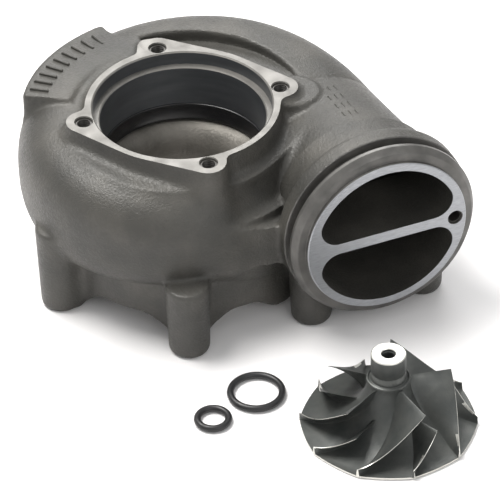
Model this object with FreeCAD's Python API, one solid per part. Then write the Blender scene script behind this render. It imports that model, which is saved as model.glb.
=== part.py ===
"""Compressor housing set for a turbo-supercharger: a cast volute housing that stands on
its bolt legs, with the loose compressor wheel and the two O-rings that go with it.

Frame: millimetres, +Z up along the inlet bore, origin on the bore's axis in the plane of
the feet.  The outlet points along -Y.  Each node is one physical piece.
"""
import FreeCAD
import Part
import math
import os

from FreeCAD import Vector

UP = Vector(0, 0, 1)
OUTLET_WAY = Vector(0, -1, 0)

# inlet flange and bore
FLANGE_TOP = 98.0
FLANGE_DEPTH = 16.0
FLANGE_RING_R = 49.6
EAR_R = 8.9
INLET_BOLT_CIRCLE_R = 51.43
INLET_BOLT_FIRST = -7.13
INLET_BOLT_COUNT = 4
PILOT_R = 45.7
PILOT_DEPTH = 7.5
BORE_R = 42.3
SEAL_TOP = 68.0
SEAL_BOTTOM = 57.5
SEAL_GROOVE_R = 45.0
SEAL_INNER_R = 41.4

# pressed-in inducer shroud and the space around it
SHROUD_OUTER_R = 47.0
SHROUD_TOP = 57.5
INDUCER_R = 32.6
DIFFUSER_Z = 11.0
CORE_R = 53.0
RISER_R = 60.5
SKIRT_R = 66.5
SKIRT_BOTTOM = 5.0
SKIRT_TOP = 67.0

# spiral body: t runs from 0 at the tongue to 1 where the straight outlet duct starts
TONGUE_AZIMUTH = -81.5
SPIRAL_SWEEP = 278.5
WALL = 6.0
SECTION_POINTS = 24
OUTLET_X = 73.0
OUTLET_Z = 55.0
OUTLET_Y = -91.0

# outlet end
PORT_R = 39.0
PORT_CORNER_R = 10.0
DIVIDER_HALF = 3.0
DIVIDER_START_Y = -50.0
PLATE_R = 43.4
RIM_R = 50.1
COLLAR_R = 50.4
GROOVE_R = 45.6
DUCT_START_R = 37.0
DUCT_FLARE = 0.103

# legs: azimuth, distance from the bore axis; each one has its opposite number
LEG_PAIRS = ((-173.95, 73.4), (-111.25, 74.4), (-60.55, 80.7))
OUTRIGGER_LEG = (101.3, -70.3)
LEG_FOOT_R = 10.6
LEG_TOP_R = 12.2
LEG_TOP = 41.0
OUTRIGGER_TOP = 30.0

# threaded inserts and the locating sleeve: outer radius, inner radius, length
INLET_INSERT = (4.3, 3.4, 15.0)
LEG_INSERT = (5.2, 4.25, 20.0)
SLEEVE = (3.9, 3.2, 9.0)
SLEEVE_X = 110.3
INSERT_RECESS = 1.2

# loose pieces, standing beside the housing
WHEEL_X = 41.0
WHEEL_Y = -163.6
WHEEL_R = 44.0
WHEEL_HEIGHT = 44.4
WHEEL_BORE_R = 3.2
NOSE_R = 8.7
HUB_TOP_R = 10.6
HUB_TOP_Z = 28.0
RIM_Z = 1.4
INDUCER_TIP_R = 32.0
INDUCER_TIP_Z = 27.2
EXIT_TIP_Z = 5.4
BLADE_COUNT = 5
FIRST_BLADE_AZIMUTH = -80.0
LARGE_RING = (-10.4, -117.4, 12.95, 1.78)
SMALL_RING = (-37.8, -127.5, 7.75, 1.78)


def direction(azimuth):
    a = math.radians(azimuth)
    return Vector(math.cos(a), math.sin(a), 0)


def at(azimuth, radius, z=0.0):
    return direction(azimuth) * radius + Vector(0, 0, z)


def cylinder(radius, z_low, z_high, x=0.0, y=0.0):
    return Part.makeCylinder(radius, z_high - z_low, Vector(x, y, z_low), UP)


def cone(r_low, r_high, z_low, z_high, x=0.0, y=0.0):
    return Part.makeCone(r_low, r_high, z_high - z_low, Vector(x, y, z_low), UP)


def fuse_all(shapes):
    whole = shapes[0]
    for shape in shapes[1:]:
        whole = whole.fuse(shape)
    return whole


def turned(profile, axis_at=Vector(0, 0, 0), sweep=360):
    """Solid of revolution about Z from (radius, z) corners."""
    points = [Vector(r, 0, z) for r, z in profile]
    wire = Part.makePolygon(points + [points[0]])
    solid = Part.Face(wire).revolve(Vector(0, 0, 0), UP, sweep)
    solid.translate(axis_at)
    return solid


def round_wire(centre, outward, radius):
    """Circle in the plane of outward and Z, split at its top and bottom."""
    top = centre + UP * radius
    bottom = centre - UP * radius
    outer = Part.Arc(top, centre + outward * radius, bottom).toShape()
    inner = Part.Arc(bottom, centre - outward * radius, top).toShape()
    return Part.Wire([outer, inner])


def bulged_wire(centre, outward, half_width, half_height, squareness):
    """Closed curve between an ellipse (squareness 2) and a rounded box (higher)."""
    points = []
    for i in range(SECTION_POINTS):
        a = 2.0 * math.pi * i / SECTION_POINTS
        across = math.copysign(abs(math.cos(a)) ** (2.0 / squareness), math.cos(a))
        along = math.copysign(abs(math.sin(a)) ** (2.0 / squareness), math.sin(a))
        points.append(centre + outward * (half_width * across) + UP * (half_height * along))
    curve = Part.BSplineCurve()
    curve.interpolate(points, PeriodicFlag=True)
    return Part.Wire([curve.toShape()])


# ---------------------------------------------------------------- spiral body

def outer_reach(t):
    return 69.0 + 33.4 * t + 11.0 * t ** 2 - 3.4 * t ** 3


def centre_height(t):
    return 61.5 - 8.2 * t + 1.7 * t ** 2


def duct_radius(y):
    """Outside radius of the straight duct, which starts at y = 0."""
    return DUCT_START_R - DUCT_FLARE * y


def spiral_place(sweep):
    """How far along the spiral, and its azimuth, at a given sweep from the tongue."""
    return sweep / SPIRAL_SWEEP, TONGUE_AZIMUTH - sweep


def body_wire(sweep):
    t, azimuth = spiral_place(sweep)
    half_width = 27.0 + 10.0 * t
    half_height = 25.0 + 12.9 * t + 5.3 * t ** 2 + 54.6 * t ** 3 - 60.8 * t ** 4
    squareness = 2.3 if t < 0.8 else 2.0 + 1.5 * (1.0 - t)
    centre = at(azimuth, outer_reach(t) - half_width, centre_height(t))
    return bulged_wire(centre, direction(azimuth), half_width, half_height, squareness)


def passage_section(t):
    radius = 9.0 + 24.0 * t ** 0.85
    return outer_reach(t) - WALL - radius, centre_height(t), radius


def passage_wire(sweep):
    t, azimuth = spiral_place(sweep)
    centre_r, centre_z, radius = passage_section(t)
    return round_wire(at(azimuth, centre_r, centre_z), direction(azimuth), radius)


def spiral_sweeps(stations):
    return [SPIRAL_SWEEP * i / stations for i in range(stations + 1)]


def spiral_body():
    wires = [body_wire(sweep) for sweep in spiral_sweeps(14)]
    for y in (-24.0, -50.0, -76.0):
        centre = Vector(OUTLET_X, y, OUTLET_Z)
        wires.append(bulged_wire(centre, Vector(1, 0, 0), duct_radius(y), duct_radius(y), 2.0))
    return Part.makeLoft(wires, True, False)


def spiral_passage():
    wires = [passage_wire(sweep) for sweep in spiral_sweeps(14)]
    wires.append(round_wire(Vector(OUTLET_X, -18.0, OUTLET_Z), Vector(1, 0, 0), 34.2))
    return Part.makeLoft(wires, True, False)


def duct_passage():
    start = Vector(OUTLET_X, -16.0, OUTLET_Z)
    return Part.makeCone(35.0, PORT_R - 1.5, -16.0 - DIVIDER_START_Y, start, OUTLET_WAY)


# ---------------------------------------------------------------- inlet flange

def ear_azimuth(i):
    return INLET_BOLT_FIRST + 360.0 / INLET_BOLT_COUNT * i


def ear_web(ear, side, z_low):
    """Straight-edged web from an ear to the ring, on the given side of the ear."""
    azimuth = ear_azimuth(ear)
    tilt = math.degrees(math.acos((FLANGE_RING_R - EAR_R) / INLET_BOLT_CIRCLE_R))
    normal = direction(azimuth + side * tilt)
    centre = at(azimuth, INLET_BOLT_CIRCLE_R, z_low)
    hub = Vector(0, 0, z_low)
    corners = [hub, hub + normal * FLANGE_RING_R, centre + normal * EAR_R, centre]
    face = Part.Face(Part.makePolygon(corners + [corners[0]]))
    return face.extrude(UP * (FLANGE_TOP - z_low))


def inlet_flange():
    z_low = FLANGE_TOP - FLANGE_DEPTH
    pieces = [cylinder(FLANGE_RING_R, z_low - 30.0, FLANGE_TOP)]
    for i in range(INLET_BOLT_COUNT):
        spot = at(ear_azimuth(i), INLET_BOLT_CIRCLE_R)
        pieces.append(cylinder(EAR_R, z_low - 12.0, FLANGE_TOP, spot.x, spot.y))
    for ear, side in ((0, 1), (1, -1), (2, 1), (3, -1)):
        pieces.append(ear_web(ear, side, z_low))
    return fuse_all(pieces)


# ---------------------------------------------------------------- outlet

def along_outlet(radius, y_high, y_low, x=OUTLET_X, z=OUTLET_Z):
    return Part.makeCylinder(radius, y_high - y_low, Vector(x, y_high, z), OUTLET_WAY)


def outlet_end():
    """Collar, clamp groove, bevelled rim and the plate that carries the two ports."""
    pieces = [along_outlet(COLLAR_R, -70.0, -77.5)]
    blend = Part.makeCone(duct_radius(-60.0) - 1.0, COLLAR_R, 10.0, Vector(OUTLET_X, -60.0, OUTLET_Z), OUTLET_WAY)
    pieces.append(blend)
    pieces.append(along_outlet(GROOVE_R, -77.5, -82.5))
    pieces.append(along_outlet(RIM_R, -82.5, -86.0))
    bevel = Part.makeCone(RIM_R, RIM_R - 2.6, 3.4, Vector(OUTLET_X, -86.0, OUTLET_Z), OUTLET_WAY)
    pieces.append(bevel)
    pieces.append(along_outlet(PLATE_R, -86.0, OUTLET_Y))
    return fuse_all(pieces)


def half_port(side):
    """One D-shaped port; side is +1 for the upper one and -1 for the lower one."""
    disc = along_outlet(PORT_R, DIVIDER_START_Y + 1.0, OUTLET_Y - 5.0)
    height = PORT_R + 5.0
    z_low = OUTLET_Z + DIVIDER_HALF if side > 0 else OUTLET_Z - DIVIDER_HALF - height
    corner = Vector(OUTLET_X - 60.0, OUTLET_Y - 10.0, z_low)
    port = disc.common(Part.makeBox(120.0, 80.0, height, corner))
    edge_z = OUTLET_Z + side * DIVIDER_HALF
    edges = []
    for edge in port.Edges:
        box = edge.BoundBox
        level = abs(box.ZMin - edge_z) < 0.01 and abs(box.ZMax - edge_z) < 0.01
        if level and box.YLength > 20.0:
            edges.append(edge)
    return port.makeFillet(PORT_CORNER_R, edges)


# ---------------------------------------------------------------- legs and skirt

def leg_spots():
    spots = []
    for azimuth, radius in LEG_PAIRS:
        spots.append(at(azimuth, radius))
        spots.append(at(azimuth + 180.0, radius))
    return spots


def leg(spot, top):
    shaft = cone(LEG_FOOT_R, LEG_TOP_R, 0.0, top, spot.x, spot.y)
    foot_edges = [edge for edge in shaft.Edges if edge.BoundBox.ZMax < 0.01]
    return shaft.makeFillet(2.5, foot_edges)


def leg_web(spot):
    """Rib that ties a leg to the skirt."""
    away = Vector(spot.x, spot.y, 0).normalize()
    across = Vector(-away.y, away.x, 0)
    near = away * (SKIRT_R - 4.0)
    far = Vector(spot.x, spot.y, 0)
    half = 9.0
    low = Vector(0, 0, SKIRT_BOTTOM + 3.0)
    corners = [near - across * half + low, far - across * half + low,
               far + across * half + low, near + across * half + low]
    face = Part.Face(Part.makePolygon(corners + [corners[0]]))
    return face.extrude(UP * (LEG_TOP - 8.0 - low.z))


def skirt():
    wall = cylinder(SKIRT_R, SKIRT_BOTTOM, SKIRT_TOP)
    spots = leg_spots()
    angles = sorted(math.degrees(math.atan2(s.y, s.x)) for s in spots)
    for i, angle in enumerate(angles):
        following = angles[(i + 1) % len(angles)]
        gap = (following - angle) % 360.0
        scallop = Part.makeCylinder(26.0, 30.0, at(angle + gap / 2.0, RISER_R + 1.2, -15.0),
                                    direction(angle + gap / 2.0))
        wall = wall.cut(scallop)
    return wall


# ---------------------------------------------------------------- housing

def front_band():
    """Straight wall that runs from the spiral's outside to the back of the collar."""
    corners = [Vector(-12, -40, 39), Vector(-12, -66.1, 39), Vector(36, -73.3, 39), Vector(36, -40, 39)]
    face = Part.Face(Part.makePolygon(corners + [corners[0]]))
    return face.extrude(UP * 24.0)


def housing_outside():
    pieces = [spiral_body(), cylinder(56.0, 34.0, 84.0), inlet_flange(), skirt(), outlet_end()]
    pieces.append(front_band())
    for spot in leg_spots():
        pieces.append(leg(spot, LEG_TOP))
        pieces.append(leg_web(spot))
    pieces.append(leg(Vector(OUTRIGGER_LEG[0], OUTRIGGER_LEG[1], 0), OUTRIGGER_TOP))
    pad = turned(((60.0, 80.0), (84.5, 80.0), (84.5, 94.5), (60.0, 95.5)), sweep=50)
    pad.rotate(Vector(0, 0, 0), UP, 98.0)
    pieces.append(pad)
    return fuse_all(pieces)


def inlet_hollow():
    edge = 0.8
    pieces = [cylinder(PILOT_R, FLANGE_TOP - PILOT_DEPTH, FLANGE_TOP + 1.0)]
    pieces.append(cone(PILOT_R, PILOT_R + edge, FLANGE_TOP - edge, FLANGE_TOP))
    pieces.append(cylinder(BORE_R, SHROUD_TOP - 1.0, FLANGE_TOP))
    pieces.append(cylinder(SEAL_GROOVE_R, SEAL_BOTTOM, SEAL_TOP))
    pieces.append(cylinder(SHROUD_OUTER_R, -1.0, SHROUD_TOP))
    return fuse_all(pieces)


def air_hollow():
    """Scroll, the ring-shaped way up to it, the space under the diffuser face and the ports."""
    riser = cylinder(RISER_R, -1.0, 60.0).cut(cylinder(CORE_R, -2.0, 61.0))
    core = cylinder(CORE_R, 0.0, 110.0)
    open_base = cylinder(RISER_R, -1.0, DIFFUSER_Z)
    return [spiral_passage().cut(core), duct_passage(), riser, open_base, half_port(1), half_port(-1)]


def fixing_holes():
    holes = []
    outer, inner, length = INLET_INSERT
    for i in range(INLET_BOLT_COUNT):
        spot = at(ear_azimuth(i), INLET_BOLT_CIRCLE_R)
        bottom = FLANGE_TOP - INSERT_RECESS - length
        holes.append(cylinder(outer, bottom, FLANGE_TOP + 1.0, spot.x, spot.y))
        holes.append(cylinder(inner, bottom - 4.0, FLANGE_TOP, spot.x, spot.y))
        holes.append(cone(outer, outer + 0.5, FLANGE_TOP - 0.5, FLANGE_TOP, spot.x, spot.y))
    outer, inner, length = LEG_INSERT
    for spot in leg_spots() + [Vector(OUTRIGGER_LEG[0], OUTRIGGER_LEG[1], 0)]:
        holes.append(cylinder(outer, -1.0, length, spot.x, spot.y))
    outer, inner, length = SLEEVE
    holes.append(along_outlet(outer, OUTLET_Y + INSERT_RECESS + length, OUTLET_Y - 1.0, SLEEVE_X))
    return holes


def volute_housing():
    body = housing_outside()
    for hollow in air_hollow() + [inlet_hollow()] + fixing_holes():
        body = body.cut(hollow)
    return body


def inducer_shroud():
    """Bellmouth at the top, inducer throat, then the curve that follows the wheel."""
    profile = [(SHROUD_OUTER_R, DIFFUSER_Z), (SHROUD_OUTER_R, SHROUD_TOP), (46.0, SHROUD_TOP)]
    mouth_z = SHROUD_TOP - 0.6
    mouth_r = 12.0
    for i in range(9):
        a = math.radians(90.0 * i / 8)
        profile.append((INDUCER_R + mouth_r * (1.0 - math.sin(a)), mouth_z - 15.0 * (1.0 - math.cos(a))))
    top, span_r = 33.0, 44.6 - INDUCER_R
    for i in range(11):
        a = math.radians(90.0 * i / 10)
        profile.append((INDUCER_R + span_r * (1.0 - math.cos(a)), top - (top - DIFFUSER_Z) * math.sin(a)))
    return turned(profile)


def seal_ring():
    """Lip seal in the groove below the bore; its lip stands a little proud of the bore."""
    middle = (SEAL_TOP + SEAL_BOTTOM) / 2.0
    half = (SEAL_TOP - SEAL_BOTTOM) / 2.0 - 0.2
    profile = [(SEAL_GROOVE_R, middle - half), (SEAL_GROOVE_R, middle + half)]
    for i in range(9):
        a = math.radians(90.0 - 180.0 * i / 8)
        profile.append((43.4 - (43.4 - SEAL_INNER_R) * math.cos(a), middle + half * math.sin(a)))
    return turned(profile)


def insert_ring(size, base, way):
    outer, inner, length = size
    ring = Part.makeCylinder(outer, length, base, way)
    return ring.cut(Part.makeCylinder(inner, length, base, way))


def o_ring(size):
    x, y, mean_r, section_r = size
    return Part.makeTorus(mean_r, section_r, Vector(x, y, section_r), UP)


# ---------------------------------------------------------------- compressor wheel

def hub_point(t):
    a = math.radians(90.0 * t)
    return (HUB_TOP_R + (WHEEL_R - HUB_TOP_R) * (1.0 - math.cos(a)),
            RIM_Z + (HUB_TOP_Z - RIM_Z) * (1.0 - math.sin(a)))


def tip_point(t):
    a = math.radians(90.0 * t)
    return (INDUCER_TIP_R + (WHEEL_R - INDUCER_TIP_R) * (1.0 - math.cos(a)),
            EXIT_TIP_Z + (INDUCER_TIP_Z - EXIT_TIP_Z) * (1.0 - math.sin(a)))


def wrap(t):
    """Blade azimuth along the flow, in degrees from the leading edge of a full blade."""
    return -54.0 * (1.48 * t - 0.48 * t * t)


def blade(first_azimuth, t_start):
    sections = []
    steps = 8
    for i in range(steps + 1):
        t = t_start + (1.0 - t_start) * i / steps
        azimuth = first_azimuth + wrap(t)
        hub_r, hub_z = hub_point(t)
        tip_r, tip_z = tip_point(t)
        root = at(azimuth, hub_r - 0.5, hub_z - 1.2 * (1.0 - t) - 0.6)
        tip = at(azimuth, tip_r, tip_z)
        lean = math.radians(25.0 * (1.0 - t))
        side = direction(azimuth + 90.0) * math.cos(lean) + UP * math.sin(lean)
        root_half, tip_half = 0.95, 0.4
        corners = [root - side * root_half, root + side * root_half,
                   tip + side * tip_half, tip - side * tip_half]
        sections.append(Part.makePolygon(corners + [corners[0]]))
    solid = Part.makeLoft(sections, True, False)
    return solid


def trimmed_disc():
    """Ten-sided prism that trims the disc to straight edges between the blades' tips."""
    count = 2 * BLADE_COUNT
    first = FIRST_BLADE_AZIMUTH + wrap(1.0)
    corners = [at(first + 360.0 / count * i, WHEEL_R + 1.0) for i in range(count)]
    return Part.Face(Part.makePolygon(corners + [corners[0]])).extrude(UP * WHEEL_HEIGHT)


def impeller():
    profile = [(0.0, 0.0), (WHEEL_R - 0.4, 0.0), (WHEEL_R, 0.4), (WHEEL_R, RIM_Z)]
    for i in range(1, 12):
        profile.append(hub_point(1.0 - i / 11.0))
    profile += [(10.9, HUB_TOP_Z + 0.6), (10.9, 29.6), (NOSE_R, 30.0), (NOSE_R, WHEEL_HEIGHT - 0.6),
                (NOSE_R - 0.6, WHEEL_HEIGHT), (0.0, WHEEL_HEIGHT)]
    wheel = turned(profile).common(trimmed_disc())
    for i in range(BLADE_COUNT):
        azimuth = FIRST_BLADE_AZIMUTH + 360.0 / BLADE_COUNT * i
        wheel = wheel.fuse(blade(azimuth, 0.0))
        wheel = wheel.fuse(blade(azimuth + 180.0 / BLADE_COUNT, 0.36))
    wheel = wheel.common(cylinder(WHEEL_R, 0.0, WHEEL_HEIGHT))
    wheel = wheel.cut(cylinder(WHEEL_BORE_R, -1.0, WHEEL_HEIGHT + 1.0))
    wheel = wheel.cut(cone(WHEEL_BORE_R, WHEEL_BORE_R + 0.8, WHEEL_HEIGHT - 0.8, WHEEL_HEIGHT))
    wheel.translate(Vector(WHEEL_X, WHEEL_Y, 0))
    return wheel


def export(node, shape):
    solids = shape.Solids
    print(node, "solids", len(solids), "valid", shape.isValid(), "volume cm3", round(shape.Volume / 1000.0, 2))
    result = solids[0] if len(solids) == 1 else shape
    result.exportStep("parts/" + node + ".step")


os.makedirs("parts", exist_ok=True)
export("volute_housing", volute_housing())
export("inducer_shroud", inducer_shroud())
export("inlet_seal_ring", seal_ring())
for i in range(INLET_BOLT_COUNT):
    spot = at(ear_azimuth(i), INLET_BOLT_CIRCLE_R, FLANGE_TOP - INSERT_RECESS)
    export("inlet_insert_%d" % (i + 1), insert_ring(INLET_INSERT, spot, -UP))
for i, spot in enumerate(leg_spots()):
    export("leg_insert_%d" % (i + 1), insert_ring(LEG_INSERT, spot, UP))
spot = Vector(OUTRIGGER_LEG[0], OUTRIGGER_LEG[1], 0)
export("outrigger_insert", insert_ring(LEG_INSERT, spot, UP))
spot = Vector(SLEEVE_X, OUTLET_Y + INSERT_RECESS, OUTLET_Z)
export("outlet_sleeve", insert_ring(SLEEVE, spot, -OUTLET_WAY))
export("impeller", impeller())
export("large_o_ring", o_ring(LARGE_RING))
export("small_o_ring", o_ring(SMALL_RING))
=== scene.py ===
import math

import bpy
import numpy as np
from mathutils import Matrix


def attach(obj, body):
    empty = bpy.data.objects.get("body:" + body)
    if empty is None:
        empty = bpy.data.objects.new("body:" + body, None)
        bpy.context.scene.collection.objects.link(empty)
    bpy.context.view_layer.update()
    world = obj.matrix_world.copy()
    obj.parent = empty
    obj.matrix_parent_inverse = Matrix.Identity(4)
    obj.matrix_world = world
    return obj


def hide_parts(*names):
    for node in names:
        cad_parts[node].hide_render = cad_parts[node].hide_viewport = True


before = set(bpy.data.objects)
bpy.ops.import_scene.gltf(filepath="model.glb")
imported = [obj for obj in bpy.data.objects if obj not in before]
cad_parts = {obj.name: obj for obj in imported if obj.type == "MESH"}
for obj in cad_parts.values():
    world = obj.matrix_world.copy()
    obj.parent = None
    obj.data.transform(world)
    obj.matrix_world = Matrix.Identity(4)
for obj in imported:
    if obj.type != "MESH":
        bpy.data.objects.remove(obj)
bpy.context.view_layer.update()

import openvdb
from mathutils import Matrix, Vector

MM = 0.001

# camera, as seen from the front and a little to the left of the outlet
CAMERA_AZIMUTH = -21.55
CAMERA_ELEVATION = 38.2
CAMERA_ROLL = -1.54
CAMERA_DISTANCE = 2047.9
CAMERA_TARGET = (29.93, -11.82, 2.89)
CAMERA_LENS = 283.1

# inlet
FLANGE_TOP = 98.0
FLANGE_RING_R = 49.6
EAR_R = 8.9
BOLT_CIRCLE_R = 51.43
FIRST_EAR = -7.13
PILOT_R = 45.7
PILOT_Z = 90.5
BORE_R = 42.3
GROOVE_R = 45.0
INLET_HOLE_R = 4.3
INLET_THREAD = (4.3, 3.4, 15.0, 1.25)
SEAL_TOP = 68.0
SEAL_BOTTOM = 57.5
SEAL_LIP_R = 41.4
SHROUD_R = 47.0
SHROUD_TOP = 57.5
INDUCER_R = 32.6
DIFFUSER_Z = 11.0

# spiral body and passages
TONGUE_AZIMUTH = -81.5
SPIRAL_SWEEP = 278.5
WALL = 6.0
CORE_R = 53.0
RISER_R = 60.5
SKIRT_R = 65.5

# outlet
OUTLET_X = 73.0
OUTLET_Z = 55.0
OUTLET_Y = -91.0
PORT_R = 39.0
PORT_CORNER_R = 10.0
DIVIDER_HALF = 3.0
COLLAR_R = 50.4
SLEEVE_X = 110.3
SLEEVE_R = 3.9
SLEEVE_BORE_R = 3.2

# legs, as azimuth and distance from the bore axis; each has its opposite number
LEG_PAIRS = ((-173.95, 73.4), (-111.25, 74.4), (-60.55, 80.7))
OUTRIGGER = (101.3, -70.3)
LEG_TOP = 41.0
LEG_HOLE_R = 5.2
LEG_THREAD = (5.2, 4.25, 20.0, 1.5)

# wheel
WHEEL = (41.0, -163.6)
WHEEL_R = 44.0
WHEEL_HEIGHT = 44.4
NOSE_R = 8.7
HUB_TOP_R = 10.6
HUB_TOP_Z = 28.0
RIM_Z = 1.4
TIP_R = 32.0
TIP_Z = 27.2
EXIT_TIP_Z = 5.4
FIRST_BLADE = -80.0
BLADE_PAIRS = 5
SPLITTER_START = 0.36
WHEEL_BORE_R = 3.2
TRIM_START_R = 30.0

# loose O-rings, as x, y, mean radius and section radius
LARGE_RING = (-10.4, -117.4, 12.95, 1.78)
SMALL_RING = (-37.8, -127.5, 7.75, 1.78)

VOXEL = 1.15


def polar(azimuth, radius):
    a = math.radians(azimuth)
    return radius * math.cos(a), radius * math.sin(a)


def leg_spots():
    spots = []
    for azimuth, radius in LEG_PAIRS:
        spots += [polar(azimuth, radius), polar(azimuth + 180.0, radius)]
    return spots


def ear_spots():
    return [polar(FIRST_EAR + 90.0 * i, BOLT_CIRCLE_R) for i in range(4)]


# ------------------------------------------------------------------ mesh helpers

def make_object(name, points, faces):
    """Object from points in millimetres."""
    mesh = bpy.data.meshes.new(name)
    corners = [tuple(float(c) * MM for c in p) for p in points]
    mesh.from_pydata(corners, [], [list(map(int, f)) for f in faces])
    mesh.validate()
    mesh.update()
    piece = bpy.data.objects.new(name, mesh)
    bpy.context.scene.collection.objects.link(piece)
    return piece


def place_matrix(spot, direction):
    """Matrix that puts a shape turned about Z at a spot, with its Z along direction."""
    turn = Vector((0, 0, 1)).rotation_difference(Vector(direction)).to_matrix().to_4x4()
    return Matrix.Translation(Vector(spot)) @ turn


def lathe(name, profile, spot=(0, 0, 0), direction=(0, 0, 1), steps=128):
    """Closed solid turned about its axis; the profile is a closed loop of (radius, height)."""
    matrix = place_matrix(spot, direction)
    points, faces, rings = [], [], []
    for radius, height in profile:
        if radius < 1e-6:
            rings.append([len(points)] * steps)
            points.append(matrix @ Vector((0, 0, height)))
            continue
        rings.append(list(range(len(points), len(points) + steps)))
        for k in range(steps):
            a = 2.0 * math.pi * k / steps
            points.append(matrix @ Vector((radius * math.cos(a), radius * math.sin(a), height)))
    for i, lower in enumerate(rings):
        upper = rings[(i + 1) % len(rings)]
        if lower[0] == lower[1] and upper[0] == upper[1]:
            continue
        for k in range(steps):
            n = (k + 1) % steps
            loop = [lower[k], lower[n], upper[n], upper[k]]
            clean = [v for j, v in enumerate(loop) if v != loop[j - 1]]
            if len(clean) > 2:
                faces.append(clean)
    piece = make_object(name, points, faces)
    face_outward(piece)
    return piece


def face_outward(piece):
    """Turns a closed mesh's faces outward."""
    mesh = piece.data
    mesh.calc_loop_triangles()
    co = np.empty(len(mesh.vertices) * 3)
    mesh.vertices.foreach_get("co", co)
    co = co.reshape(-1, 3)
    tri = np.empty(len(mesh.loop_triangles) * 3, dtype=np.int32)
    mesh.loop_triangles.foreach_get("vertices", tri)
    a, b, c = (co[tri.reshape(-1, 3)[:, i]] for i in range(3))
    if float(np.einsum("ij,ij->i", a, np.cross(b, c)).sum()) < 0.0:
        mesh.flip_normals()


def join_meshes(name, pieces):
    """One object from several, which are removed."""
    points, faces = [], []
    for piece in pieces:
        start = len(points)
        points += [v.co / MM for v in piece.data.vertices]
        faces += [[start + v for v in poly.vertices] for poly in piece.data.polygons]
        bpy.data.objects.remove(piece)
    return make_object(name, points, faces)


def combine(piece, cutter, operation):
    """Exact boolean of two closed meshes; the cutter is removed."""
    step = piece.modifiers.new("combine", "BOOLEAN")
    step.operation = operation
    step.solver = "MANIFOLD"
    step.object = cutter
    shaped = bpy.data.meshes.new_from_object(piece.evaluated_get(bpy.context.evaluated_depsgraph_get()))
    piece.modifiers.clear()
    piece.data = shaped
    bpy.data.objects.remove(cutter)


def smooth_shading(piece, angle=32.0):
    piece.data.shade_smooth()
    piece.data.set_sharp_from_angle(angle=math.radians(angle))


def face_fields(piece):
    """Centre in millimetres and normal of every face."""
    count = len(piece.data.polygons)
    centre = np.empty(count * 3)
    normal = np.empty(count * 3)
    piece.data.polygons.foreach_get("center", centre)
    piece.data.polygons.foreach_get("normal", normal)
    return centre.reshape(-1, 3) / MM, normal.reshape(-1, 3)


# ------------------------------------------------------------------ cast skin as a distance field

def soft_min(a, b, k):
    h = np.maximum(k - np.abs(a - b), 0.0) / k
    return np.minimum(a, b) - h * h * k * 0.25


def soft_max(a, b, k):
    return -soft_min(-a, -b, k)


def squarish(u, v, half_u, half_v, power):
    """Distance-like field of a curve between an ellipse and a rounded box."""
    q = (np.abs(u / half_u) ** power + np.abs(v / half_v) ** power) ** (1.0 / power)
    return (q - 1.0) * np.minimum(half_u, half_v)


class Field:
    """Sample points of the casting's box, kept as broadcastable axes."""

    def __init__(self):
        low = np.array([-98.0, -84.0, -3.0])
        high = np.array([127.0, 112.0, 111.0])
        size = np.ceil((high - low) / VOXEL).astype(int)
        self.low = low
        grid = [low[i] + VOXEL * np.arange(size[i]) for i in range(3)]
        self.x = grid[0][:, None, None].astype(np.float32)
        self.y = grid[1][None, :, None].astype(np.float32)
        self.z = grid[2][None, None, :].astype(np.float32)
        self.r = np.hypot(self.x, self.y)
        self.azimuth = np.degrees(np.arctan2(self.y, self.x))
        sweep = (TONGUE_AZIMUTH - self.azimuth) % 360.0
        middle = (SPIRAL_SWEEP + 360.0) / 2.0
        self.before_tongue = sweep > middle
        self.t = np.where(self.before_tongue, 0.0, np.clip(sweep / SPIRAL_SWEEP, 0.0, 1.0))
        self.outer = 69.0 + 33.4 * self.t + 11.0 * self.t ** 2 - 3.4 * self.t ** 3
        near_start = (self.azimuth > -110.0) & (self.azimuth < 0.0) & (self.t < 0.5)
        self.sinking = np.where(near_start, np.clip((self.azimuth + 106.0) / 32.0, 0.0, 1.0), 0.0)

    def near(self, spot):
        return np.hypot(self.x - spot[0], self.y - spot[1])


def spiral_field(f):
    """Outside of the spiral: a low sloping shoulder at the tongue, rounder as it grows."""
    t = f.t
    half_width = 27.0 + 10.0 * t
    half_height = 25.0 + 12.9 * t + 5.3 * t ** 2 + 54.6 * t ** 3 - 60.8 * t ** 4
    height = 61.5 - 8.2 * t + 1.7 * t ** 2 - 12.0 * f.sinking * f.sinking * (3.0 - 2.0 * f.sinking)
    late = np.clip((t - 0.81) / 0.19, 0.0, 1.0)
    early = np.clip(1.0 - t / 0.3, 0.0, 1.0)
    square = np.clip(1.0 - t / 0.5, 0.0, 1.0)
    plain = 2.5 - 0.5 * late * late * (3.0 - 2.0 * late)
    upper = plain - 0.7 * early * early * (3.0 - 2.0 * early)
    power = np.where(f.z > height, upper, plain + 2.5 * square * square * (3.0 - 2.0 * square))
    return squarish(f.r - (f.outer - half_width), f.z - height, half_width, half_height, power)


def spiral_ends(f, shape):
    """Fades the spiral's start out past the tongue and stops its end where the duct starts."""
    start = math.radians(TONGUE_AZIMUTH + 48.0)
    gap = (f.azimuth > TONGUE_AZIMUTH) & (f.azimuth < 0.0)
    first = soft_max(shape, f.y * math.cos(start) - f.x * math.sin(start), 10.0)
    return np.where(gap, np.where(f.before_tongue, first, np.maximum(shape, -f.y)), shape)


def duct_field(f):
    radius = 37.0 + 0.103 * np.clip(-f.y, 0.0, 80.0)
    shape = np.hypot(f.x - OUTLET_X, f.z - OUTLET_Z) - radius
    return np.maximum(np.maximum(shape, f.y), -76.0 - f.y)


def collar_field(f):
    grow = np.clip((-f.y - 61.0) / 9.0, 0.0, 1.0)
    radius = 43.0 + (COLLAR_R - 43.0) * grow * grow * (3.0 - 2.0 * grow)
    shape = np.hypot(f.x - OUTLET_X, f.z - OUTLET_Z) - radius
    return np.maximum(np.maximum(shape, f.y + 57.0), -77.5 - f.y)


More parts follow.
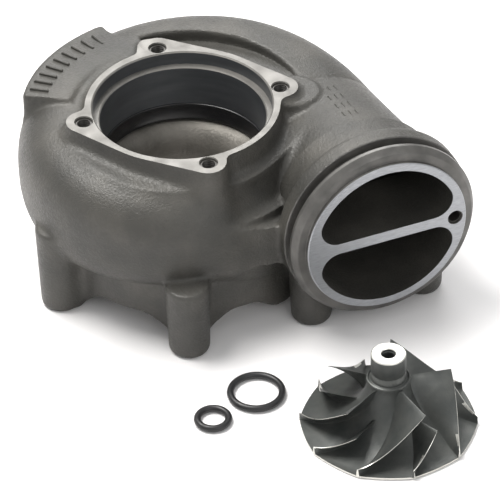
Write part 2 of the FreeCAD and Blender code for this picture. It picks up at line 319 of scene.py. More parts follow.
def flange_field(f):
    """Ring with four ears: straight edges front and back, hollow edges at the sides."""
    plan = f.r - FLANGE_RING_R
    for spot in ear_spots():
        plan = soft_min(plan, f.near(spot) - EAR_R, 5.0)
    for ear, side in ((0, 1), (1, -1), (2, 1), (3, -1)):
        tilt = math.degrees(math.acos((FLANGE_RING_R - EAR_R) / BOLT_CIRCLE_R))
        n = polar(FIRST_EAR + 90.0 * ear + side * tilt, 1.0)
        ear_spot = ear_spots()[ear]
        out = f.x * n[0] + f.y * n[1]
        along = side * (f.x * n[1] - f.y * n[0])
        ear_along = side * (ear_spot[0] * n[1] - ear_spot[1] * n[0])
        web = np.maximum(np.maximum(out - FLANGE_RING_R, -out), np.maximum(-along, along - ear_along))
        plan = np.minimum(plan, web)
    draft = 0.09 * (FLANGE_TOP - f.z)
    return np.maximum(np.maximum(plan - draft, f.z - 101.0), 66.0 - f.z)


def skirt_field(f):
    nearest = np.full_like(f.azimuth, 180.0)
    for spot in leg_spots():
        apart = np.abs((f.azimuth - math.degrees(math.atan2(spot[1], spot[0])) + 180.0) % 360.0 - 180.0)
        nearest = np.minimum(nearest, apart)
    rise = np.clip((nearest - 5.0) / 17.0, 0.0, 1.0)
    bottom = 3.0 + 10.0 * rise * rise * (3.0 - 2.0 * rise)
    wall = f.r - (SKIRT_R + 0.02 * (f.z - 5.0))
    return soft_max(np.maximum(wall, f.z - 67.0), bottom - f.z, 1.5)


def leg_field(f, spot, top):
    side = f.near(spot) - (10.4 + 0.025 * f.z)
    return np.maximum(soft_max(soft_max(side, -0.9 - f.z, 4.5), f.z - top, 2.0), -f.z)


def front_band(f):
    """Straight wall from the spiral's outside to the back of the collar, with a sloping top."""
    wall = -f.y - 67.9 - 0.15 * f.x
    top = f.z - 65.0 + 0.12 * f.x
    across = np.maximum(np.maximum(wall, top), 39.5 - f.z)
    return np.maximum(np.maximum(across, f.y + 35.0), np.maximum(-16.0 - f.x, f.x - 38.0))


def pad_field(f):
    """Raised pad on the spiral's left rim."""
    outer = 83.2 + 0.085 * np.clip(148.0 - f.azimuth, 0.0, 60.0)
    ends = (np.abs(f.azimuth - 122.5) - 25.5) * 1.35
    side = soft_max(f.r - outer, ends, 2.0)
    return soft_max(np.maximum(side, 58.0 - f.r), np.maximum(f.z - 95.2, 78.0 - f.z), 2.0)


def recess_field(f):
    """Shallow trough in the spiral's top, behind the flange."""
    ends = np.maximum(FIRST_EAR + 2.0 - f.azimuth, f.azimuth - 88.0)
    return np.maximum(np.maximum(f.r - 65.5, 91.0 - f.z), ends)


def boss_field(f):
    """Thick stub under the ear beside the outlet duct."""
    spot = polar(FIRST_EAR, BOLT_CIRCLE_R + 6.0)
    return np.maximum(np.maximum(f.near(spot) - 13.5, f.z - 94.5), 70.0 - f.z)


def outside_field(f):
    """The whole outside of the casting; only the spiral's start blends softly into the duct."""
    shape = spiral_ends(f, spiral_field(f))
    duct = duct_field(f)
    main = np.where(f.before_tongue, 60.0, np.minimum(shape, duct))
    first = np.where(f.before_tongue, shape, 60.0)
    body = np.minimum(main, soft_min(first, duct, 3.0))
    core = np.maximum(np.maximum(f.r - 56.0, f.z - 84.0), 34.0 - f.z)
    body = soft_min(body, core, 9.0)
    body = soft_min(body, front_band(f), 2.0)
    base = skirt_field(f)
    for i, spot in enumerate(leg_spots()):
        base = soft_min(base, leg_field(f, spot, LEG_TOP if i > 1 else LEG_TOP + 8.0), 8.0)
    body = soft_min(body, np.maximum(base, -f.z), 2.5)
    body = soft_min(body, collar_field(f), 3.0)
    body = soft_max(body, -recess_field(f), 2.0)
    body = soft_min(body, boss_field(f), 4.0)
    body = soft_min(body, pad_field(f), 3.0)
    body = soft_min(body, flange_field(f), 5.0)
    return soft_min(body, leg_field(f, OUTRIGGER, 28.0), 5.0)


def passage_field(f):
    """Scroll, duct, the ring-shaped way up from the diffuser and the open base."""
    radius = 9.0 + 24.0 * f.t ** 0.85
    centre_r = f.outer - WALL - radius
    height = 61.5 - 8.2 * f.t + 1.7 * f.t ** 2 - 12.0 * f.sinking
    scroll = np.hypot(f.r - centre_r, f.z - height) - radius
    start = math.radians(TONGUE_AZIMUTH)
    end_wall = np.where(f.before_tongue, f.y * math.cos(start) - f.x * math.sin(start), -f.y)
    gap = (f.azimuth > TONGUE_AZIMUTH) & (f.azimuth < 0.0)
    scroll = np.maximum(scroll, np.where(gap, end_wall, -60.0))
    shift = 0.1 * np.clip(f.y + 20.0, 0.0, 20.0)
    duct = np.hypot(f.x - OUTLET_X + shift, f.z - OUTLET_Z) - (33.0 - 0.08 * f.y)
    duct = np.maximum(np.maximum(duct, f.y - 1.0), -52.0 - f.y)
    hollow = soft_max(soft_min(scroll, duct, 2.0), CORE_R - f.r, 3.0)
    riser = np.maximum(np.maximum(f.r - RISER_R, CORE_R - f.r), f.z - 60.0)
    base = np.maximum(f.r - RISER_R, f.z - DIFFUSER_Z)
    return soft_min(soft_min(hollow, riser, 3.0), base, 1.0)


def cast_skin():
    f = Field()
    distance = np.maximum(outside_field(f), -passage_field(f))
    grid = openvdb.FloatGrid(background=3.0)
    grid.copyFromArray(np.ascontiguousarray(np.clip(distance, -3.0, 3.0).astype(np.float32)))
    points, quads = grid.convertToQuads(isovalue=0.0)
    piece = make_object("cast_housing", f.low + points * VOXEL, quads)
    face_outward(piece)
    return piece


# ------------------------------------------------------------------ machining of the housing

def inlet_cutter():
    """Everything above the flange face, the stepped bore, the seal groove and the shroud's seat."""
    profile = [(0, 125), (64, 125), (64, FLANGE_TOP), (PILOT_R + 0.7, FLANGE_TOP),
               (PILOT_R, FLANGE_TOP - 0.7), (PILOT_R, PILOT_Z), (BORE_R + 0.6, PILOT_Z),
               (BORE_R, PILOT_Z - 0.6), (BORE_R, SEAL_TOP),
               (GROOVE_R, SEAL_TOP), (GROOVE_R, SEAL_BOTTOM), (BORE_R, SEAL_BOTTOM), (BORE_R, SHROUD_TOP),
               (SHROUD_R, SHROUD_TOP), (SHROUD_R, -8), (0, -8)]
    return lathe("inlet_cutter", profile, steps=192)


def outlet_turning():
    """Clamp groove, bevelled rim and raised plate, turned about the outlet's axis."""
    profile = [(0, 50), (0, 91), (42.9, 91), (43.4, 90.5), (43.4, 88.6), (44.2, 88.2),
               (47.3, 88.2), (47.9, 87.9), (50.1, 84.9), (50.1, 83.1), (49.6, 82.6), (45.8, 82.2),
               (45.4, 81.6), (45.4, 78.3),
               (45.9, 77.6), (49.9, 77.4), (50.4, 76.9), (50.4, 74.0), (44.0, 73.0), (44.0, 50)]
    return lathe("outlet_turning", profile, (OUTLET_X, 0, OUTLET_Z), (0, -1, 0), steps=192)


def port_outline(side):
    """Half disc with rounded corners, as (x, z) about the outlet's axis."""
    flat = DIVIDER_HALF + PORT_CORNER_R
    reach = PORT_R - PORT_CORNER_R
    corner_x = math.sqrt(reach ** 2 - flat ** 2)
    join = math.atan2(flat, corner_x)
    outline = []
    for i in range(13):
        a = -math.pi / 2.0 + (join + math.pi / 2.0) * i / 12
        outline.append((corner_x + PORT_CORNER_R * math.cos(a), flat + PORT_CORNER_R * math.sin(a)))
    for i in range(1, 64):
        a = join + (math.pi - 2.0 * join) * i / 64
        outline.append((PORT_R * math.cos(a), PORT_R * math.sin(a)))
    outline += [(-x, z) for x, z in reversed(outline[:13])]
    return [(x, side * z) for x, z in outline]


def port_cutter(side):
    outline = port_outline(side)
    count = len(outline)
    points = []
    for y in (-50.0, -100.0):
        points += [(OUTLET_X + x, y, OUTLET_Z + z) for x, z in outline]
    faces = [[i, (i + 1) % count, count + (i + 1) % count, count + i] for i in range(count)]
    faces += [list(range(count))[::-1], list(range(count, 2 * count))]
    piece = make_object("port_cutter", points, faces)
    face_outward(piece)
    return piece


def hole_cutters():
    cutters = []
    for spot in ear_spots():
        profile = [(0, 76), (3.4, 78), (INLET_HOLE_R, 78.5), (INLET_HOLE_R, 97.5), (5.0, 98.2),
                   (5.0, 99), (0, 99)]
        cutters.append(lathe("hole", profile, (spot[0], spot[1], 0), steps=48))
    for spot in leg_spots() + [OUTRIGGER]:
        profile = [(0, -2), (6.2, -2), (6.2, -0.2), (LEG_HOLE_R, 0.8), (LEG_HOLE_R, 21.2), (0, 21.2)]
        cutters.append(lathe("hole", profile, (spot[0], spot[1], 0), steps=48))
    profile = [(0, 80.8), (SLEEVE_R, 80.8), (SLEEVE_R, 90.7), (4.2, 91.1), (4.2, 92), (0, 92)]
    cutters.append(lathe("hole", profile, (SLEEVE_X, 0, OUTLET_Z), (0, -1, 0), steps=32))
    return join_meshes("holes", cutters)


def rib_bars():
    """Plain raised ribs: a fan on the left pad and short dashes on top of the outlet duct."""
    bars = []
    for i in range(4):
        y = -12.0 - 9.0 * i
        top = OUTLET_Z + 37.0 - 0.103 * y
        for x in (72.0, 75.5, 79.0):
            height = top - (x - OUTLET_X) ** 2 / 80.0
            bars.append(bar((x, y), 90.0, 4.6, 1.3, height - 2.0, height + 0.45))
    for i in range(9):
        azimuth = 104.0 + 5.0 * i
        centre = polar(azimuth, 75.5)
        bars.append(bar(centre, azimuth, 10.0, 1.6, 94.0, 96.6))
    return bars


def bar(centre, azimuth, length, width, z_low, z_high):
    """Bar with sloping sides, lying along its azimuth."""
    along = Vector((*polar(azimuth, 1.0), 0))
    across = Vector((-along.y, along.x, 0))
    points = []
    for z, shrink in ((z_low, 0.0), (z_high - 0.3, 0.25), (z_high, 0.6)):
        a = along * (length / 2.0 - shrink)
        b = across * (width / 2.0 - shrink)
        base = Vector((centre[0], centre[1], z))
        points += [base - a - b, base + a - b, base + a + b, base - a + b]
    faces = [[3, 2, 1, 0], [8, 9, 10, 11]]
    for level in (0, 4):
        faces += [[level + k, level + (k + 1) % 4, level + 4 + (k + 1) % 4, level + 4 + k] for k in range(4)]
    piece = make_object("bar", points, faces)
    face_outward(piece)
    return piece


def housing_zones(piece):
    """Material of each face: 0 cast, 1 flange face, 2 bore, 3 outlet plate, 4 turned rim."""
    c, n = face_fields(piece)
    r = np.hypot(c[:, 0], c[:, 1])
    from_outlet = np.hypot(c[:, 0] - OUTLET_X, c[:, 2] - OUTLET_Z)
    zone = np.zeros(len(c), dtype=np.int32)
    zone[(np.abs(c[:, 2] - FLANGE_TOP) < 0.05) & (n[:, 2] > 0.98) & (r < 63.0)] = 1
    zone[(r < 46.6) & (c[:, 2] > 54.9) & (c[:, 1] > -60.0) & (from_outlet > 20.0)] = 2
    zone[(r < 46.6) & (np.abs(c[:, 2] - PILOT_Z) < 0.7) & (n[:, 2] > 0.5)] = 1
    zone[(r < 46.6) & (c[:, 2] > 97.0)] = 1
    zone[(c[:, 1] < -77.0) & (from_outlet > 39.3) & (from_outlet < 51.0)] = 4
    zone[(c[:, 1] < -88.4) & (from_outlet < 43.6) & (n[:, 1] < -0.6)] = 3
    zone[(c[:, 2] < 0.15) & (n[:, 2] < -0.9)] = 1
    return zone


def build_housing():
    piece = cast_skin()
    ribs = join_meshes("ribs", rib_bars())
    combine(piece, ribs, "UNION")
    combine(piece, inlet_cutter(), "DIFFERENCE")
    combine(piece, outlet_turning(), "UNION")
    combine(piece, join_meshes("ports", [port_cutter(1), port_cutter(-1)]), "DIFFERENCE")
    combine(piece, hole_cutters(), "DIFFERENCE")
    piece.data.materials.clear()
    for mat in (cast_metal(), flange_metal(), bore_metal(), plate_metal(), rim_metal()):
        piece.data.materials.append(mat)
    piece.data.polygons.foreach_set("material_index", housing_zones(piece))
    smooth_shading(piece)
    return piece


# ------------------------------------------------------------------ turned and moulded pieces

def build_shroud():
    """Ring with a bellmouth above its throat and the wheel's contour below."""
    profile = [(SHROUD_R, DIFFUSER_Z), (SHROUD_R, SHROUD_TOP), (46.2, SHROUD_TOP), (45.2, SHROUD_TOP - 0.3)]
    mouth_z = SHROUD_TOP - 0.6
    for i in range(25):
        a = math.radians(90.0 * i / 24)
        profile.append((INDUCER_R + 12.0 * (1.0 - math.sin(a)), mouth_z - 15.0 * (1.0 - math.cos(a))))
    for i in range(25):
        a = math.radians(90.0 * i / 24)
        profile.append((INDUCER_R + 12.0 * (1.0 - math.cos(a)), 33.0 - 22.0 * math.sin(a)))
    return lathe("shroud_ring", profile, steps=160)


def build_seal():
    middle = (SEAL_TOP + SEAL_BOTTOM) / 2.0
    half = (SEAL_TOP - SEAL_BOTTOM) / 2.0 - 0.2
    profile = [(GROOVE_R, middle - half), (GROOVE_R, middle + half)]
    for i in range(17):
        a = math.radians(90.0 - 180.0 * i / 16)
        profile.append((42.4 - (42.4 - SEAL_LIP_R) * math.cos(a) ** 0.4, middle + half * math.sin(a)))
    return lathe("seal_ring", profile, steps=160)


def build_o_ring(name, x, y, mean_r, section_r):
    """O-ring lying on the floor, with the faint parting line that moulding leaves."""
    profile = []
    for i in range(32):
        a = 2.0 * math.pi * i / 32
        proud = 0.05 if i in (0, 16) else 0.0
        profile.append((mean_r + (section_r + proud) * math.cos(a), section_r + section_r * math.sin(a)))
    return lathe(name, profile, (x, y, 0), steps=128)


def build_thread(name, spot, way, outer, inner, length, pitch):
    """Threaded insert: a tube whose bore carries a helical thread."""
    turns_steps = 40
    rows = int(length / pitch * 8)
    matrix = place_matrix(spot, way)
    points, faces = [], []
    for j in range(rows + 1):
        z = length * j / rows
        for k in range(turns_steps):
            a = 2.0 * math.pi * k / turns_steps
            phase = (z / pitch - k / turns_steps) % 1.0
            groove = 1.0 - abs(2.0 * phase - 1.0)
            ends = min(1.0, z / 0.6, (length - z) / 0.6)
            r = inner + (outer - inner - 0.25) * min(1.0, 1.15 * groove) * ends
            points.append(matrix @ Vector((r * math.cos(a), r * math.sin(a), z)))
    base = len(points)
    for z in (0.0, length):
        for k in range(turns_steps):
            a = 2.0 * math.pi * k / turns_steps
            points.append(matrix @ Vector((outer * math.cos(a), outer * math.sin(a), z)))
    for k in range(turns_steps):
        n = (k + 1) % turns_steps
        for j in range(rows):
            low, high = j * turns_steps, (j + 1) * turns_steps
            faces.append([low + k, high + k, high + n, low + n])
        top = rows * turns_steps
        faces.append([base + k, base + n, base + turns_steps + n, base + turns_steps + k])
        faces.append([k, n, base + n, base + k])
        faces.append([top + n, top + k, base + turns_steps + k, base + turns_steps + n])
    piece = make_object(name, points, faces)
    face_outward(piece)
    return piece


# ------------------------------------------------------------------ compressor wheel

def quarter_curve(t, start_r, start_z, end_z):
    """Quarter ellipse from the top (t = 0), in along the axis and out level at the wheel's edge."""
    a = math.radians(90.0 * t)
    r = start_r + (WHEEL_R - start_r) * (1.0 - math.cos(a))
    return (r, end_z + (start_z - end_z) * (1.0 - math.sin(a)))


def hub_point(t):
    return quarter_curve(t, HUB_TOP_R, HUB_TOP_Z, RIM_Z)


def tip_point(t):
    return quarter_curve(t, TIP_R, TIP_Z, EXIT_TIP_Z)


def wrap(t):
    """Degrees that a blade has turned back by, from its leading edge to t."""
    return -54.0 * (1.48 * t - 0.48 * t * t)


def wheel_blade(first_azimuth, t_start):
    """One blade: sections along the flow, each with a flared root and a square tip."""
    spans = (-0.06, 0.0, 0.05, 0.12, 0.3, 0.5, 0.7, 0.85, 1.0)
    steps = 26
    rows = []
    for i in range(steps + 1):
        t = t_start + (1.0 - t_start) * i / steps
        azimuth = first_azimuth + wrap(t)
        hub_r, hub_z = hub_point(t)
        tip_r, tip_z = tip_point(t)
        lean = math.radians(25.0 * (1.0 - t))
        out = Vector((*polar(azimuth + 90.0, 1.0), 0)) * math.cos(lean) + Vector((0, 0, math.sin(lean)))
        edge = 0.35 + 0.65 * min(1.0, i / 3.0)
        left, right = [], []
        for s in spans:
            r = hub_r + (tip_r - hub_r) * s
            z = hub_z + (tip_z - hub_z) * s
            flare = 1.3 * (1.1 - t) * max(0.0, 0.12 - s) ** 2 / 0.0144
            half = (0.9 - 0.58 * max(s, 0.0) ** 0.8) * edge + flare * 0.55
            middle = Vector((*polar(azimuth, r), z))
            left.append(middle - out * half)
            right.append(middle + out * half)
        rows.append(left + right[::-1])
    width = len(rows[0])
    points = [p for row in rows for p in row]
    faces = []
    for i in range(steps):
        for k in range(width):
            n = (k + 1) % width
            faces.append([i * width + k, i * width + n, (i + 1) * width + n, (i + 1) * width + k])
    faces.append(list(range(width))[::-1])
    faces.append([steps * width + k for k in range(width)])
    piece = make_object("blade", points, faces)
    face_outward(piece)
    return piece


def trim_rim(piece):
    """Draws the disc in to straight edges between the blades' trailing tips."""
    first = FIRST_BLADE + wrap(1.0)
    for vertex in piece.data.vertices:
        r = math.hypot(vertex.co.x, vertex.co.y) / MM
        if r < TRIM_START_R:
            continue
        apart = (math.degrees(math.atan2(vertex.co.y, vertex.co.x)) - first) % 36.0 - 18.0
        edge = math.cos(math.radians(18.0)) / math.cos(math.radians(apart))
        share = (r - TRIM_START_R) / (WHEEL_R - TRIM_START_R)
        scale = 1.0 + 0.5 * (edge - 1.0) * share * share * (3.0 - 2.0 * share)
        vertex.co.x *= scale
        vertex.co.y *= scale


def build_wheel():
    profile = [(0, 0), (WHEEL_R - 0.4, 0), (WHEEL_R, 0.4), (WHEEL_R, RIM_Z)]
    profile += [hub_point(1.0 - i / 40.0) for i in range(1, 40)]
    profile += [(HUB_TOP_R + 0.1, HUB_TOP_Z), (10.7, 28.4), (10.9, 29.3), (10.7, 29.9),
                (10.2, 30.1), (9.6, 29.4), (8.9, 29.9), (NOSE_R, 30.6), (NOSE_R, 33.7),
                (8.5, 34.0), (NOSE_R, 34.3),
                (NOSE_R, WHEEL_HEIGHT - 0.5), (NOSE_R - 0.5, WHEEL_HEIGHT), (0, WHEEL_HEIGHT)]
    piece = lathe("compressor_wheel", profile, steps=180)
    trim_rim(piece)
    for i in range(BLADE_PAIRS):
        azimuth = FIRST_BLADE + 72.0 * i
        combine(piece, wheel_blade(azimuth, 0.0), "UNION")
        combine(piece, wheel_blade(azimuth + 36.0, SPLITTER_START), "UNION")
    trim = lathe("trim", [(WHEEL_R, -5), (60, -5), (60, 60), (WHEEL_R, 60)], steps=144)
    combine(piece, trim, "DIFFERENCE")
    bore = [(0, -2), (WHEEL_BORE_R, -2), (WHEEL_BORE_R, 42.6), (3.5, 42.9), (3.5, WHEEL_HEIGHT - 0.4),
            (3.9, WHEEL_HEIGHT + 0.1), (3.9, 50), (0, 50)]
    combine(piece, lathe("bore", bore, steps=48), "DIFFERENCE")
    piece.data.materials.clear()
    for mat in (wheel_cast(), bright_cut()):
        piece.data.materials.append(mat)
    piece.data.polygons.foreach_set("material_index", wheel_zones(piece))
    smooth_shading(piece, 38.0)
    piece.data.transform(Matrix.Translation(Vector((WHEEL[0], WHEEL[1], 0)) * MM))
    return piece


def wheel_zones(piece):
    """Bright where a tool has cut: blade tips, the rim of the disc and the end of the nose."""
    c, n = face_fields(piece)
    r = np.hypot(c[:, 0], c[:, 1])
    across = (WHEEL_R - r) / (WHEEL_R - TIP_R)
    above = (TIP_Z - c[:, 2]) / (TIP_Z - EXIT_TIP_Z)
    outward = (c[:, 0] * n[:, 0] + c[:, 1] * n[:, 1]) / np.maximum(r, 0.01)
    rise = TIP_Z + 6.0 - c[:, 2]
    toward = (outward * (WHEEL_R - r) + n[:, 2] * rise) / np.hypot(WHEEL_R - r, rise)
    near_tip = np.abs(np.hypot(across, above) - 1.0) < 0.045
    on_tip = (r > TIP_R - 0.6) & near_tip & (toward > 0.5)
    on_tip |= (r > WHEEL_R - 0.3) & (outward > 0.7) & (c[:, 2] > RIM_Z + 1.2)
    rim = (r > 41.2) & (outward > 0.7) & (c[:, 2] < RIM_Z + 0.05)
    nose = (c[:, 2] > WHEEL_HEIGHT - 0.7) & (r > 3.0)
    return (on_tip | rim | nose).astype(np.int32)


# ------------------------------------------------------------------ materials

def new_material(name, colour, roughness, metallic):
    mat = bpy.data.materials.new(name)
    mat.use_nodes = True
    shader = mat.node_tree.nodes["Principled BSDF"]
    shader.inputs["Base Color"].default_value = (*colour, 1.0)
    shader.inputs["Roughness"].default_value = roughness
    shader.inputs["Metallic"].default_value = metallic
    return mat


def add_noise(mat, scale, detail=4.0, stretch=None):
    """Noise over the object's own coordinates, in cells per metre."""
    nodes, links = mat.node_tree.nodes, mat.node_tree.links
    coords = nodes.new("ShaderNodeTexCoord")
    noise = nodes.new("ShaderNodeTexNoise")
    noise.inputs["Scale"].default_value = scale
    noise.inputs["Detail"].default_value = detail
    source = coords.outputs["Object"]
    if stretch:
        mapping = nodes.new("ShaderNodeMapping")
        mapping.inputs["Scale"].default_value = stretch
        links.new(source, mapping.inputs["Vector"])
        source = mapping.outputs["Vector"]
    links.new(source, noise.inputs["Vector"])
    return noise.outputs["Fac"]


def ramp(mat, value, stops):
    """Colour ramp over a value; stops are (position, colour)."""
    node = mat.node_tree.nodes.new("ShaderNodeValToRGB")
    mat.node_tree.links.new(value, node.inputs["Fac"])
    elements = node.color_ramp.elements
    while len(elements) < len(stops):
        elements.new(0.5)
    for element, (position, colour) in zip(elements, stops):
        element.position = position
        element.color = (*colour, 1.0) if len(colour) == 3 else colour
    return node.outputs["Color"]


def grey(v):
    return (v, v, v)


def set_input(mat, name, value):
    mat.node_tree.links.new(value, mat.node_tree.nodes["Principled BSDF"].inputs[name])


def add_bump(mat, height, strength, distance, below=None):
    bump = mat.node_tree.nodes.new("ShaderNodeBump")
    bump.inputs["Strength"].default_value = strength
    bump.inputs["Distance"].default_value = distance
    mat.node_tree.links.new(height, bump.inputs["Height"])
    if below:
        mat.node_tree.links.new(below, bump.inputs["Normal"])
    set_input(mat, "Normal", bump.outputs["Normal"])
    return bump.outputs["Normal"]


def cast_metal():
    """Sand-cast skin under a thin dark grey coat: pitted grain and soft blotches."""
    mat = new_material("cast_metal", (0.055, 0.053, 0.047), 0.5, 0.15)
    blotch = add_noise(mat, 45.0, 5.0)
    stops = ((0.3, (0.042, 0.041, 0.037)), (0.5, (0.055, 0.053, 0.047)), (0.72, (0.078, 0.074, 0.065)))
    set_input(mat, "Base Color", ramp(mat, blotch, stops))
    grain = add_noise(mat, 720.0, 1.5)
    set_input(mat, "Roughness", ramp(mat, grain, ((0.3, grey(0.55)), (0.7, grey(0.38)))))
    coarse = add_bump(mat, grain, 0.6, 0.0004)
    fine = add_noise(mat, 1600.0, 2.0)
    add_bump(mat, fine, 0.5, 0.0004, coarse)
    return mat


def flange_metal():
    """Milled face: brighter than the skin, with faint cloudy marks."""
    mat = new_material("flange_metal", (0.28, 0.27, 0.25), 0.45, 0.5)
    marks = add_noise(mat, 120.0, 5.0)
    set_input(mat, "Base Color", ramp(mat, marks, ((0.3, (0.15, 0.145, 0.134)), (0.7, (0.22, 0.212, 0.197)))))
    set_input(mat, "Roughness", ramp(mat, marks, ((0.3, grey(0.5)), (0.7, grey(0.38)))))
    add_bump(mat, marks, 0.15, 0.0002)
    return mat


def bore_metal():
    mat = new_material("bore_metal", (0.085, 0.09, 0.098), 0.38, 0.5)
    rings = add_noise(mat, 40.0, 3.0, (1.0, 1.0, 6.0))
    stops = ((0.3, (0.075, 0.08, 0.086)), (0.7, (0.1, 0.106, 0.114)))
    set_input(mat, "Base Color", ramp(mat, rings, stops))
    set_input(mat, "Roughness", ramp(mat, rings, ((0.3, grey(0.33)), (0.7, grey(0.4)))))
    return mat


def plate_metal():
    mat = new_material("plate_metal", (0.36, 0.37, 0.39), 0.42, 0.7)
    marks = add_noise(mat, 220.0, 3.0, (1.0, 1.0, 7.0))
    set_input(mat, "Base Color", ramp(mat, marks, ((0.3, (0.31, 0.32, 0.335)), (0.7, (0.40, 0.41, 0.43)))))
    set_input(mat, "Roughness", ramp(mat, marks, ((0.3, grey(0.5)), (0.7, grey(0.38)))))
    return mat


def rim_metal():
    mat = new_material("rim_metal", (0.12, 0.117, 0.11), 0.4, 0.5)
    marks = add_noise(mat, 90.0, 4.0)
    stops = ((0.35, (0.09, 0.088, 0.083)), (0.7, (0.15, 0.145, 0.137)))
    set_input(mat, "Base Color", ramp(mat, marks, stops))
    set_input(mat, "Roughness", ramp(mat, marks, ((0.3, grey(0.45)), (0.7, grey(0.33)))))
    return mat


def shroud_metal():
    mat = new_material("shroud_metal", (0.19, 0.18, 0.16), 0.5, 0.4)
    blotch = add_noise(mat, 70.0, 5.0)
    set_input(mat, "Base Color", ramp(mat, blotch, ((0.3, (0.14, 0.132, 0.115)), (0.7, (0.25, 0.235, 0.21)))))
    add_bump(mat, add_noise(mat, 700.0, 3.0), 0.5, 0.0005)
    return mat


def rubber(name, roughness):
    mat = new_material(name, (0.012, 0.012, 0.013), roughness, 0.0)
    haze = add_noise(mat, 300.0, 3.0)
    stops = ((0.3, grey(roughness * 0.85)), (0.7, grey(roughness * 1.2)))
    set_input(mat, "Roughness", ramp(mat, haze, stops))
    add_bump(mat, add_noise(mat, 3000.0, 2.0), 0.12, 0.0001)
    return mat


# Steel of the inserts, made darker than bare steel so that it carries painted shade inside the holes.
def thread_metal_painted_shade():
    mat = new_material("thread_metal_painted_shade", (0.06, 0.057, 0.052), 0.42, 0.5)
    marks = add_noise(mat, 600.0, 2.0)
    set_input(mat, "Roughness", ramp(mat, marks, ((0.3, grey(0.42)), (0.7, grey(0.28)))))
    return mat


def wheel_cast():
    """Fine investment-cast skin, dark grey with a green cast."""
    mat = new_material("wheel_cast", (0.07, 0.075, 0.072), 0.42, 0.45)
    blotch = add_noise(mat, 110.0, 5.0)
    stops = ((0.3, (0.055, 0.06, 0.058)), (0.7, (0.095, 0.099, 0.093)))
    set_input(mat, "Base Color", ramp(mat, blotch, stops))
    set_input(mat, "Roughness", ramp(mat, blotch, ((0.3, grey(0.48)), (0.7, grey(0.36)))))
    add_bump(mat, add_noise(mat, 1500.0, 3.0), 0.25, 0.0003)
    return mat


def bright_cut():
    mat = new_material("bright_cut", (0.66, 0.655, 0.61), 0.34, 0.8)
    marks = add_noise(mat, 500.0, 2.0)
    set_input(mat, "Roughness", ramp(mat, marks, ((0.3, grey(0.38)), (0.7, grey(0.26)))))
    return mat


def floor_paint():
    mat = new_material("floor_paint", (0.86, 0.85, 0.85), 0.75, 0.0)
    shade = add_noise(mat, 4.0, 2.0)
    set_input(mat, "Base Color", ramp(mat, shade, ((0.3, (0.85, 0.84, 0.84)), (0.7, (0.87, 0.86, 0.86)))))
    return mat


# ------------------------------------------------------------------ the set put together

def wear(piece, mat):
    """Gives a piece one material."""
    piece.data.materials.clear()
    piece.data.materials.append(mat)


def adopt(piece, body, node, mat=None, angle=32.0):
    """Stands a finished piece in for its CAD node."""
    if mat:
        wear(piece, mat)
        smooth_shading(piece, angle)
    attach(piece, body)
    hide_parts(node)


def build_set():
    adopt(build_housing(), "housing", "volute_housing")
    adopt(build_shroud(), "housing", "inducer_shroud", shroud_metal())
    adopt(build_seal(), "housing", "inlet_seal_ring", rubber("seal_rubber", 0.22), 60.0)
    adopt(build_wheel(), "impeller", "impeller")
    ring_rubber = rubber("ring_rubber", 0.4)
    for name, ring in (("large", LARGE_RING), ("small", SMALL_RING)):
        piece = build_o_ring(name + "_ring", *ring)
        adopt(piece, name + "_ring", name + "_o_ring", ring_rubber, 60.0)
    shaded_steel = thread_metal_painted_shade()
    for i, spot in enumerate(ear_spots()):
        piece = build_thread("inlet_thread_%d" % (i + 1), (*spot, 96.8), (0, 0, -1), *INLET_THREAD)
        adopt(piece, "housing", "inlet_insert_%d" % (i + 1), shaded_steel)
    for i, spot in enumerate(leg_spots()):
        piece = build_thread("leg_thread_%d" % (i + 1), (*spot, 1.2), (0, 0, 1), *LEG_THREAD)
        adopt(piece, "housing", "leg_insert_%d" % (i + 1), shaded_steel)
    piece = build_thread("outrigger_thread", (*OUTRIGGER, 1.2), (0, 0, 1), *LEG_THREAD)
    adopt(piece, "housing", "outrigger_insert", shaded_steel)
    profile = [(SLEEVE_BORE_R, 80.8), (SLEEVE_R, 80.8), (SLEEVE_R, 89.8), (3.4, 89.8), (SLEEVE_BORE_R, 89.6)]
    sleeve = lathe("port_sleeve", profile, (SLEEVE_X, 0, OUTLET_Z), (0, -1, 0), 48)
    adopt(sleeve, "housing", "outlet_sleeve", shaded_steel)


# ------------------------------------------------------------------ stage

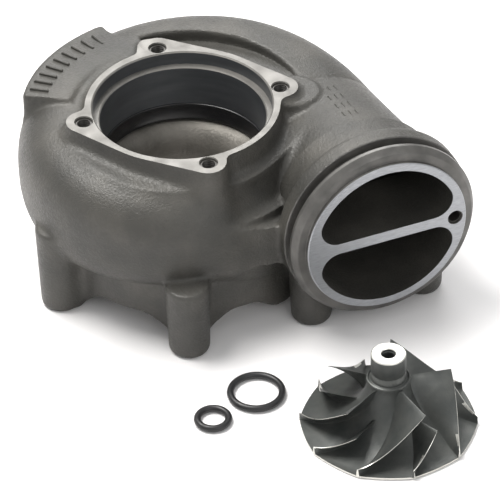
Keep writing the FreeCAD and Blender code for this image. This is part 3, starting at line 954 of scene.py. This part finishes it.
def build_floor():
    size = 6000.0
    corners = [(-size, -size, 0), (size, -size, 0), (size, size, 0), (-size, size, 0)]
    floor = make_object("floor", corners, [[0, 1, 2, 3]])
    floor.location.z = -0.0002
    floor.data.materials.append(floor_paint())


def build_camera():
    azimuth, elevation = math.radians(CAMERA_AZIMUTH), math.radians(CAMERA_ELEVATION)
    level = math.cos(elevation)
    back = Vector((math.sin(azimuth) * level, -math.cos(azimuth) * level, math.sin(elevation)))
    right = Vector((math.cos(azimuth), math.sin(azimuth), 0.0))
    up = back.cross(right)
    roll = math.radians(CAMERA_ROLL)
    side = right * math.cos(roll) + up * math.sin(roll)
    top = up * math.cos(roll) - right * math.sin(roll)
    turn = Matrix((side, top, back)).transposed().to_4x4()
    data = bpy.data.cameras.new("camera")
    data.lens = CAMERA_LENS
    data.sensor_width = 36.0
    data.clip_end = 50.0
    camera = bpy.data.objects.new("camera", data)
    camera.matrix_world = Matrix.Translation((Vector(CAMERA_TARGET) + back * CAMERA_DISTANCE) * MM) @ turn
    bpy.context.scene.collection.objects.link(camera)
    bpy.context.scene.camera = camera


def area_light(name, spot, aim, size, power, colour=(1.0, 1.0, 1.0)):
    data = bpy.data.lights.new(name, "AREA")
    data.shape = "RECTANGLE"
    data.size, data.size_y = size
    data.energy = power
    data.color = colour
    lamp = bpy.data.objects.new(name, data)
    lamp.location = spot
    lamp.rotation_euler = (Vector(aim) - Vector(spot)).to_track_quat("-Z", "Y").to_euler()
    bpy.context.scene.collection.objects.link(lamp)


def build_lights():
    area_light("key", (-0.35, 0.35, 1.3), (0, 0, 0.05), (0.8, 0.6), 26.0, (1.0, 0.985, 0.965))
    area_light("back", (0.4, 0.9, 0.8), (0, 0, 0.05), (0.8, 0.5), 7.0)
    area_light("front", (0.3, -1.3, 0.8), (0, 0, 0.05), (0.9, 0.6), 4.0)
    world = bpy.data.worlds.new("studio")
    world.use_nodes = True
    world.node_tree.nodes["Background"].inputs["Color"].default_value = (1.0, 1.0, 1.0, 1.0)
    world.node_tree.nodes["Background"].inputs["Strength"].default_value = 0.62
    bpy.context.scene.world = world
    bpy.context.scene.view_settings.view_transform = "Standard"


build_camera()
build_set()
build_floor()
build_lights()
